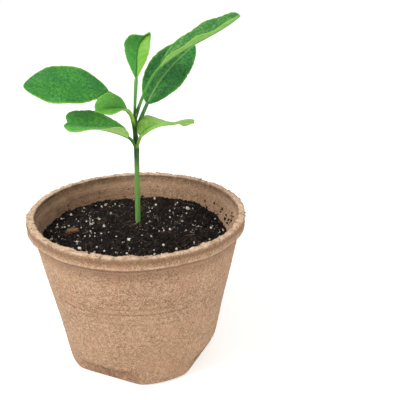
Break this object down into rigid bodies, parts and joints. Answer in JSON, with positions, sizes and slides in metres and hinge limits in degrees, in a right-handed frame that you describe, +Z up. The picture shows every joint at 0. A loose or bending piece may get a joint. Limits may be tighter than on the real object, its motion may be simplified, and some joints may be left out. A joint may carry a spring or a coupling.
{
  "type": "planted peat pot",
  "caption": "Round tapered moulded peat pot with a thick lip, foot flats and drain holes, holding potting mix with perlite and a young citrus-type seedling.",
  "frame": {"origin": "on the pot's axis, on the flat underside of its base", "axes": "+Z up along the pot's axis; -Y is the front, the side seen in the picture; +X to the right"},
  "size_m": [0.1, 0.1, 0.1602],
  "materials": {
    "peat_fibre": "rough moulded fibre",
    "potting_mix": "matte, crumbly",
    "perlite": "matte, porous",
    "bark": "rough",
    "green_stem": "satin",
    "root": "matte",
    "leaf": "satin, waxy",
    "young_leaf": "satin, waxy"
  },
  "bodies": {
    "root": {"peat_pot": "peat_fibre", "potting_mix": "potting_mix", "mix_crumbs": "potting_mix", "perlite_grains": "perlite", "bark_chip": "bark", "stem": "green_stem", "terminal_bud": "young_leaf", "taproot": "root", "lateral_roots": "root", "petiole_large_left": "green_stem", "leaf_large_left": "leaf", "petiole_small_left": "green_stem", "leaf_small_left": "leaf", "petiole_lower_left": "green_stem", "leaf_lower_left": "young_leaf", "petiole_top": "green_stem", "leaf_top": "young_leaf", "petiole_back_right": "green_stem", "leaf_back_right": "leaf", "petiole_upper_right": "green_stem", "leaf_upper_right": "leaf", "petiole_lower_right": "green_stem", "leaf_lower_right": "young_leaf"}
  },
  "joints": []
}
